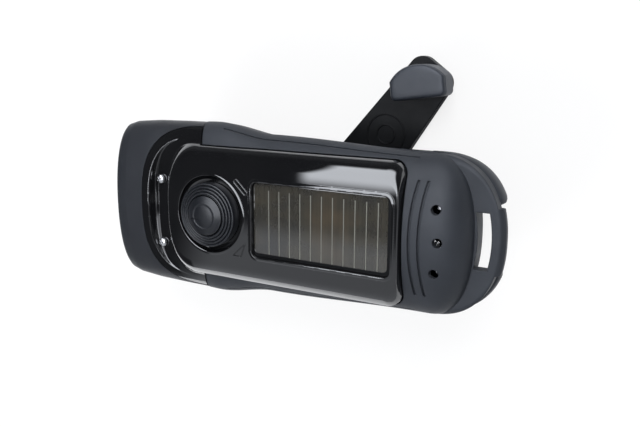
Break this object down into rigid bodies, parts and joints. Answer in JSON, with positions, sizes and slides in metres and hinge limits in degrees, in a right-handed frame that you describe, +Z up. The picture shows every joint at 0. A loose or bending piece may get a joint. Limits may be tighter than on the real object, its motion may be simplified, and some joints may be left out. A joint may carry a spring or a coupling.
{
  "type": "hand crank flashlight",
  "caption": "Flat hand-held torch with a wide rounded lamp head, a solar panel and push button on its glossy top, a lanyard slot at its tail and a folding crank under its belly.",
  "frame": {"origin": "The crank's axis on the face that the part lies on: the underside of the crank hub.", "axes": "+X runs along the body towards the lamp head, +Y across it, +Z up from the crank to the solar panel."},
  "size_m": [0.1468, 0.0858, 0.0493],
  "materials": {
    "glossy_cover": "polished injection-moulded plastic",
    "matte_shell": "fine satin moulding grain",
    "arm_plastic": "smooth satin moulding",
    "knob_plastic": "fine satin moulding grain",
    "button_rubber": "matte silicone rubber",
    "lens_clear": "clear polished acrylic",
    "led_clear": "clear moulded epoxy",
    "reflector_chrome": "vacuum-metallised plastic",
    "screw_chrome": "bright plated steel",
    "steel": "plain steel",
    "cell_steel": "nickel-plated cans",
    "gear_nylon": "natural nylon",
    "copper_winding": "lacquered copper wire",
    "circuit_board": "solder-resist laminate",
    "solar_cell": "coated photovoltaic wafer under clear resin"
  },
  "bodies": {
    "casing": {"top_cover": "glossy_cover", "bumper_frame": "matte_shell", "bottom_shell": "matte_shell", "head_bezel": "matte_shell", "power_switch": "arm_plastic", "battery_tray": "arm_plastic", "button_boot": "button_rubber", "lens_gasket": "button_rubber", "lens": "lens_clear", "led_1": "led_clear", "led_2": "led_clear", "led_3": "led_clear", "charge_indicator": "led_clear", "reflector": "reflector_chrome", "cover_screw_1": "screw_chrome", "cover_screw_2": "screw_chrome", "tail_screw_1": "steel", "tail_screw_2": "steel", "board_screw_1": "steel", "board_screw_2": "steel", "board_screw_3": "steel", "board_screw_4": "steel", "idler_axle": "steel", "gear_plate": "steel", "generator_case": "steel", "battery_cell_1": "cell_steel", "battery_cell_2": "cell_steel", "battery_cell_3": "cell_steel", "hub_bush": "gear_nylon", "stator_coil": "copper_winding", "main_board": "circuit_board", "led_board": "circuit_board", "solar_panel": "solar_cell"},
    "hub": {"crank_hub": "arm_plastic", "crank_gear": "gear_nylon", "hub_clip": "steel", "fold_pin": "steel"},
    "arm": {"crank_arm": "arm_plastic", "knob_pin": "steel"},
    "knob": {"crank_knob": "knob_plastic"},
    "button": {"power_button": "button_rubber"},
    "plunger": {"switch_plunger": "gear_nylon"},
    "idler": {"idler_gear": "gear_nylon"},
    "rotor": {"rotor_shaft": "steel", "rotor_magnet": "steel"}
  },
  "joints": [
    {"name": "crank_turn", "type": "hinge", "parent": "casing", "child": "hub", "pos_m": [0, 0, 0], "axis": [0, 0, 1], "continuous": true},
    {"name": "arm_fold", "type": "hinge", "parent": "hub", "child": "arm", "pos_m": [0, 0, 0.0018], "axis": [0.7976, -0.6032, 0], "range_deg": [0, 180]},
    {"name": "knob_spin", "type": "hinge", "parent": "arm", "child": "knob", "pos_m": [-0.03481, -0.04602, 0.0039], "axis": [0, 0, 1], "continuous": true},
    {"name": "button_press", "type": "slide", "parent": "casing", "child": "button", "axis": [0, 0, -1], "range_m": [0, 0.0012], "stiffness_N_per_m": 300, "springref_m": -0.001},
    {"name": "plunger_press", "type": "slide", "parent": "casing", "child": "plunger", "axis": [0, 0, -1], "range_m": [0, 0.0012]},
    {"name": "idler_spin", "type": "hinge", "parent": "casing", "child": "idler", "pos_m": [0.0244, 0, 0.0109], "axis": [0, 0, 1], "continuous": true},
    {"name": "rotor_spin", "type": "hinge", "parent": "casing", "child": "rotor", "pos_m": [0.00795, 0.00767, 0.0142], "axis": [0, 0, 1], "continuous": true}
  ],
  "couplings": [
    {"joint": "plunger_press", "follows": "button_press", "ratio": 1},
    {"joint": "idler_spin", "follows": "crank_turn", "ratio": -4.1667},
    {"joint": "rotor_spin", "follows": "crank_turn", "ratio": 15}
  ]
}
